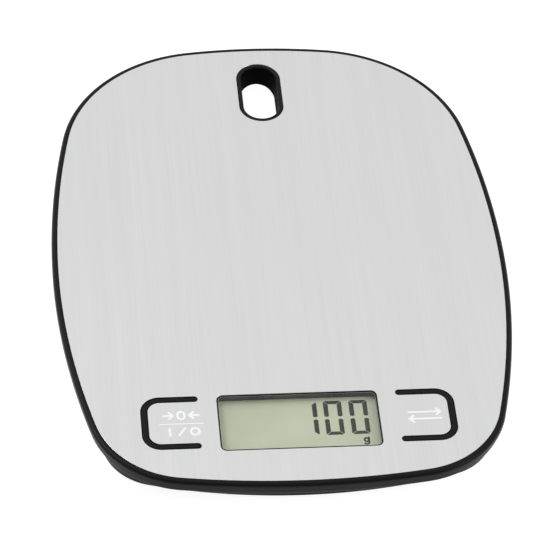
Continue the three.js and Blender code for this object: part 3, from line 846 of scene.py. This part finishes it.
def key_rib(side):
    """The plastic rib that stands in the slot round a key, with a rounded top."""
    half = KEY_RIB / 2
    top = PLATE_TOP
    round_over = 0.45
    crown = quarter_round(half - round_over, top - round_over, round_over, 0, 90, 4)
    section = [(-half, ROOF_TOP - 0.5), (half, ROOF_TOP - 0.5)]
    section += crown
    section += [(-offset, z) for offset, z in reversed(crown)]
    return rail("rib", key_path(side), section, half)


def paint_slot_wall_shade(shell):
    """Paints shade on a shell's upright wall in the hanging slot with a darker, less glossy black."""
    reach_x = COLLAR["width"] / 2 - 1
    reach_y = COLLAR["length"] / 2 - 1
    # Painted shade: the slot's upright faces take the darker black.
    shell.data.materials.append(SLOT_SHADE_BLACK)
    for face in shell.data.polygons:
        x, y = face.center.x / MM - SLOT["x"], face.center.y / MM - SLOT["y"]
        upright = abs(face.normal.z) < 0.1
        if upright and abs(x) < reach_x and abs(y) < reach_y:
            face.material_index = 1


def make_upper_shell():
    """The upper moulding: rim, roof, slot lining, ribs in the key slots and window upstand."""
    round_over = 1.2
    rim = [(-3, ROOF_LOW), (RIM_OUT - 0.15, ROOF_LOW), (RIM_OUT, ROOF_LOW + 0.15)]
    rim += quarter_round(RIM_OUT - round_over, SHELL_TOP - round_over, round_over, 0, 90, 10)
    shell = stack("upper_shell_moulding", outline, rim)
    cut(shell, stack("recess", outline, [(0.15, ROOF_TOP), (0.15, PLATE_TOP + 1)]))
    low, high = ROOF_LOW - 1.2, ROOF_LOW + 0.5
    add(shell, ring("locating_lip", outline, [(-2.6, low), (-1.2, low), (-1.2, high), (-2.6, high)]))
    lining = pill(COLLAR["width"], COLLAR["length"], SLOT["x"], SLOT["y"])
    collar = prism("collar", lining, FLOOR_TOP, SHELL_TOP)
    combine(collar, belly_inside(0.1), "INTERSECT")
    add(shell, collar)
    for x, y in SCREWS:
        add(shell, prism("boss", circle(3.4, x, y), SCREW_SPLIT + 0.3, ROOF_LOW + 0.5))
        cut(shell, prism("pilot", circle(1.15, x, y, 24), SCREW_SPLIT, ROOF_TOP - 0.6))
    for side in (-1, 1):
        x = side * SWITCH[0]
        field = key_field(side, -0.8)
        cut(
            shell,
            prism("pocket", fixed(field), ROOF_TOP - KEY_POCKET, PLATE_TOP + 1),
            prism("plunger_hole", circle(2.6, x, SWITCH[1]), ROOF_LOW - 1, PLATE_TOP),
            prism("plunger_seat", circle(4.5, x, SWITCH[1]), ROOF_TOP - KEY_POCKET, PLATE_TOP),
        )
        add(shell, key_rib(side))
    cut(shell, hanging_hole())
    inner = window_outline(LIP_IN + LIP_WALL)
    edge = 0.12
    add(shell, stack("window_lip", window_outline(LIP_IN), [
        (0, ROOF_LOW), (0, SHELL_TOP - edge), (-edge * 0.3, SHELL_TOP - edge * 0.3), (-edge, SHELL_TOP),
    ]))
    cut(shell, stack("window_hole", inner, [
        (0, ROOF_LOW - 1), (0, SHELL_TOP - edge), (edge * 0.3, SHELL_TOP - edge * 0.3), (edge, SHELL_TOP),
        (edge, PLATE_TOP + 1),
    ]))
    place(shell, "scale_body", BLACK, ["upper_shell"])
    # Painted shade on the walls of the hanging slot.
    paint_slot_wall_shade(shell)


# ---- Lower shell and battery cover --------------------------------------------------------------


def belly_outside(name="belly"):
    """The lower shell's outside: an upright edge that turns in under the scale to a flat floor.

    The display end has a fuller front, which stands out of that shape under the edge.
    """
    round_under = 0.9
    profile = [(-BELLY_IN, FLOOR_LOW), (-BELLY_IN + 0.6, FLOOR_LOW + 0.05)]
    profile += [(-BELLY_IN + 1.2, FLOOR_LOW + 0.2), (0.5, LOWER_TURN - 0.03)]
    profile += quarter_round(
        LOWER_RIM_OUT - round_under, LOWER_TURN + round_under, round_under, -65, 0, 7,
    )
    profile += [(LOWER_RIM_OUT, SEAM_LOW - 0.12), (LOWER_RIM_OUT - 0.12, SEAM_LOW)]
    sweep = stack(name, outline, profile)
    front = stack("front", front_outline, [
        (-0.22, FLOOR_LOW), (-0.06, FLOOR_LOW + 0.06), (0, FLOOR_LOW + 0.22), (0, SEAM_LOW - 1),
    ])
    return add(sweep, front)


def make_lower_shell():
    """The tray: belly, seats for the feet, screw bosses, hanging slot and battery bay."""
    shell = belly_outside("lower_shell_moulding")
    cut(shell, belly_inside())
    for x, y in FEET.values():
        add(shell, prism("foot_ring", circle(CELL_RADIUS + 0.4, x, y), FLOOR_TOP - 0.5, CELL_Z - 0.1))
        cut(
            shell,
            prism("cup_seat", circle(FOOT_RADIUS + 1, x, y), FLOOR_TOP, CELL_Z + 1),
            stack("cup_hole", circle(FOOT_RADIUS + 0.3, x, y, 64), [
                (0.3, 0), (0.3, FLOOR_LOW), (0, FLOOR_LOW + 0.3), (0, CELL_Z + 1),
            ]),
        )
    for x, y in SCREWS:
        add(shell, prism("boss", circle(4, x, y), FLOOR_LOW + 0.2, SCREW_SPLIT))
        cut(
            shell,
            prism("head_hole", circle(2.6, x, y, 32), 0, SCREW_SEAT),
            prism("shank_hole", circle(1.4, x, y, 24), 0, PLATE_TOP),
        )
    cut(shell, hanging_hole())
    low, high = BAY["y"] - BAY["half"], BAY["y"] + BAY["half"]
    x0, x1 = BAY["x0"], BAY["x1"]
    wall = BAY["wall"]
    base = FLOOR_TOP - 0.5
    roof = BAY["top"] + BAY["roof"]
    walls = box("walls", x0 - wall, x1 + wall, low - wall, high + wall, base, roof)
    ledge = box("ledge", x0 - wall, x1 + wall, low - 3.1, high + 3.1, base, FLOOR_TOP + 1.6)
    add(walls, ledge)
    combine(walls, belly_outside(), "INTERSECT")
    add(shell, walls)
    cut(
        shell,
        box("bay", x0, x1, low, high, 0, BAY["top"]),
        cover_box("opening", COVER_START, COVER_HALF, 0, base),
        cover_box("groove", COVER_START, COVER_HALF + COVER_LIP, FLOOR_TOP - 0.85, FLOOR_TOP),
    )
    place(shell, "scale_body", BLACK, ["lower_shell"])
    # Painted shade on the walls of the hanging slot.
    paint_slot_wall_shade(shell)


def cover_box(name, start, half, z0, z1):
    """A box as wide as the battery cover, from start to beyond the scale's right side."""
    return box(name, start, BEYOND_SIDE, BAY["y"] - half, BAY["y"] + half, z0, z1)


def make_battery_cover():
    """The sliding cover, cut from the belly's own shape, with a grip and an arrow to open it."""
    start = COVER_START + COVER_GAP
    half = COVER_HALF - COVER_GAP
    top = FLOOR_TOP - 0.15
    grip_start = BAY["x1"] - 11.5
    grip_pitch = 2.2
    cover = cover_box("battery_cover_moulding", start, half, FLOOR_LOW, top)
    add(cover, cover_box("lips", start, half + COVER_LIP, top - 0.5, top))
    combine(cover, belly_outside(), "INTERSECT")
    for i in range(5):
        groove = pill(1, 12, grip_start + grip_pitch * i, BAY["y"])
        cut(cover, stack("grip", groove, [
            (0.25, FLOOR_LOW - 1), (0.25, FLOOR_LOW), (0, FLOOR_LOW + 0.4),
        ]))
    tip = BAY["x0"] + 16
    arrow_head = [(tip, BAY["y"] - 3), (tip + 4, BAY["y"]), (tip, BAY["y"] + 3)]
    cut(cover, prism("arrow", fixed(arrow_head), FLOOR_LOW - 1, FLOOR_LOW + 0.25))
    place(cover, "battery_cover", BLACK, ["battery_cover"])


# ---- Display ------------------------------------------------------------------------------------

DIGITS = ((0.4, "bc"), (8.45, "abcdef"), (16.7, "abcdef"))  # left edge and lit segments
DIGIT_LOW = -79.4
DIGIT_HEIGHT = 14.25
DIGIT_WIDTH = 5.9
SEGMENT_WIDTH = 1.5
SEGMENT_GAP = 0.1
SEGMENT_THICK = 0.02
UNIT_SPOT = (21, -81.9)
UNIT_LINE = 0.65


def segment_shapes(x, y, width, height, line):
    """The six outer segments of a digit whose low left corner is at (x, y), by their usual letters."""
    gap = SEGMENT_GAP
    middle = y + height / 2
    waist = 0.42
    tip = 0.35
    inner = line * 0.88
    right, top = x + width, y + height
    upper_left = [
        (x, middle + waist + tip), (x + line / 2, middle + waist), (x + line, middle + waist + tip),
        (x + line, top - inner - gap), (x + 0.25, top - 0.25 - gap), (x, top - 0.6 - gap),
    ]
    bar = [
        (x + 0.25 + gap, top - 0.2), (x + 0.55 + gap, top), (right - 0.55 - gap, top),
        (right - 0.25 - gap, top - 0.2), (right - line - gap, top - inner), (x + line + gap, top - inner),
    ]
    across = x + right
    along = 2 * middle
    return {
        "f": upper_left,
        "b": [(across - px, py) for px, py in upper_left],
        "e": [(px, along - py) for px, py in upper_left],
        "c": [(across - px, along - py) for px, py in upper_left],
        "a": bar,
        "d": [(px, along - py) for px, py in bar],
    }


def make_reading():
    """The reading on the display: one hundred, with the unit below its last digit."""
    z0, z1 = LCD_TOP - 0.005, LCD_TOP + SEGMENT_THICK
    shapes = []
    for left, letters in DIGITS:
        digit = segment_shapes(left, DIGIT_LOW, DIGIT_WIDTH, DIGIT_HEIGHT, SEGMENT_WIDTH)
        shapes += [prism(letter, fixed(digit[letter]), z0, z1) for letter in letters]
    x, y = UNIT_SPOT
    shapes.append(ring_stroke(x, y, 0.65, 0.75, UNIT_LINE, z0, z1))
    tail = [(x + 0.72, y + 0.95), (x + 0.72, y - 1.1)]
    tail += arc_path(x - 0.02, y - 1.1, 0.74, 0.62, 0, -140, 10)[1:]
    shapes.append(stroke(tail, UNIT_LINE, z0, z1))
    place(gather("display_reading", shapes), "scale_body", SEGMENT)


def make_window():
    """The clear window, a pane set in the upstand of the upper shell."""
    edge = 0.15
    top = PLATE_TOP - 0.2
    pane = stack("display_window_pane", window_outline(LIP_IN + LIP_WALL + 0.1), [
        (0, ROOF_LOW), (0, top - edge), (-edge * 0.3, top - edge * 0.3), (-edge, top),
    ])
    place(pane, "scale_body", WINDOW_CLEAR, ["display_window"])
    # Painted highlight: the chamfer faces take the light edge acrylic.
    pane.data.materials.append(WINDOW_EDGE_HIGHLIGHT)
    for face in pane.data.polygons:
        chamfered = 0.3 < face.normal.z < 0.95
        if chamfered:
            face.material_index = 1


# ---- Feet and screws ----------------------------------------------------------------------------


def make_foot(name, x, y):
    """A foot's cup with its stem, and the ribbed rubber pad under it."""
    body = f"foot_{name}"
    stem_top = CELL_Z - 0.05
    low = 0.7
    cup = turned(f"foot_cup_{name}_moulding", [
        (0, 1.6), (7.3, 1.6), (7.3, low + 0.1), (7.4, low), (FOOT_RADIUS - 0.4, low),
        (FOOT_RADIUS - 0.12, low + 0.12), (FOOT_RADIUS, low + 0.4), (FOOT_RADIUS, FLOOR_TOP + 0.15),
        (FOOT_RADIUS + 0.7, FLOOR_TOP + 0.15), (FOOT_RADIUS + 0.7, FLOOR_TOP + 0.6),
        (2.6, FLOOR_TOP + 0.6), (2.6, stem_top), (0, stem_top),
    ], x, y)
    place(cup, body, BLACK, [f"foot_cup_{name}"])
    profile = [(0, 0.15)]
    for radius in (1.2, 2.6, 4.0, 5.4):
        profile += [(radius, 0.15), (radius + 0.15, 0), (radius + 0.85, 0), (radius + 1, 0.15)]
    profile += [(6.65, 0.25), (6.9, 0.6), (6.9, 1.5), (0, 1.5)]
    pad = turned(f"foot_pad_{name}_rubber", profile, x, y)
    place(pad, body, FINISHES["foot_rubber"], [f"foot_pad_{name}"])


def make_screw(number, x, y):
    """A case screw with a cross recess, put in from below."""
    seat = SCREW_SEAT
    profile = [
        (0, seat - 1.4), (1.4, seat - 1.4), (1.9, seat - 1.25), (2.2, seat - 0.95),
        (2.2, seat - 0.05), (1, seat - 0.05), (1, ROOF_TOP - 1.5), (0.4, ROOF_TOP - 0.9),
        (0, ROOF_TOP - 0.9),
    ]
    screw = turned(f"case_screw_{number}_body", profile, x, y, 32)
    depth = seat - 0.7
    cut(
        screw,
        box("cross", x - 1.2, x + 1.2, y - 0.3, y + 0.3, FLOOR_LOW - 1, depth),
        box("cross", x - 0.3, x + 0.3, y - 1.2, y + 1.2, FLOOR_LOW - 1, depth),
    )
    place(screw, "scale_body", FINISHES["zinc_screw"], [f"case_screw_{number}"])


# ---- Studio -------------------------------------------------------------------------------------


def make_floor():
    """A wide pale floor that gives a little light of its own, so that it fades to white."""
    shader = Shader("pale_floor")
    patch = shader.noise(3, 2)
    shader.tint(patch, (0.40, 0.40, 0.40), (0.42, 0.42, 0.42))
    shader.gloss(patch, 0.7, 0.8)
    shader.set(Emission_Color=(1, 1, 1, 1), Emission_Strength=0.9)
    floor = prism("floor", circle(6000, 0, 0, 96), -20, 0)
    finish_piece(floor, shader.material)


def area_light(name, spot, size, power):
    """A round soft light that points at the scale."""
    data = bpy.data.lights.new(name, "AREA")
    data.shape = "DISK"
    data.size = size
    data.energy = power
    light = bpy.data.objects.new(name, data)
    light.location = spot
    light.rotation_euler = (-Vector(spot)).to_track_quat("-Z", "Y").to_euler()
    bpy.context.scene.collection.objects.link(light)


def make_sky():
    """Soft white surroundings, brighter behind the scale than in front of it."""
    world = bpy.data.worlds.new("studio")
    world.use_nodes = True
    nodes, links = world.node_tree.nodes, world.node_tree.links
    way = nodes.new("ShaderNodeTexCoord")
    axes = nodes.new("ShaderNodeSeparateXYZ")
    links.new(way.outputs["Generated"], axes.inputs["Vector"])
    fade = nodes.new("ShaderNodeMapRange")
    fade.interpolation_type = "SMOOTHSTEP"
    fade.inputs["From Min"].default_value = -0.75
    fade.inputs["From Max"].default_value = 0.35
    fade.inputs["To Min"].default_value = 0.38
    fade.inputs["To Max"].default_value = 0.88
    links.new(axes.outputs["Y"], fade.inputs["Value"])
    background = nodes["Background"]
    background.inputs["Color"].default_value = (0.985, 0.99, 0.985, 1)
    links.new(fade.outputs["Result"], background.inputs["Strength"])
    bpy.context.scene.world = world


def make_studio():
    make_floor()
    make_sky()
    area_light("key_light", (-0.9, 0.5, 1.3), 0.7, 6)
    area_light("rim_light", (1.1, -0.6, 0.9), 0.4, 3)
    bpy.context.scene.view_settings.view_transform = "Standard"


# ---- Assembly -----------------------------------------------------------------------------------

make_camera()
finish_cad_nodes()
make_plate()
make_key(-1, "tare_power_key")
make_key(1, "unit_key")
make_symbols()
make_upper_shell()
make_lower_shell()
make_battery_cover()
make_reading()
make_window()
for foot_name, (foot_x, foot_y) in FEET.items():
    make_foot(foot_name, foot_x, foot_y)
for screw_number, (screw_x, screw_y) in enumerate(SCREWS, 1):
    make_screw(screw_number, screw_x, screw_y)
make_studio()
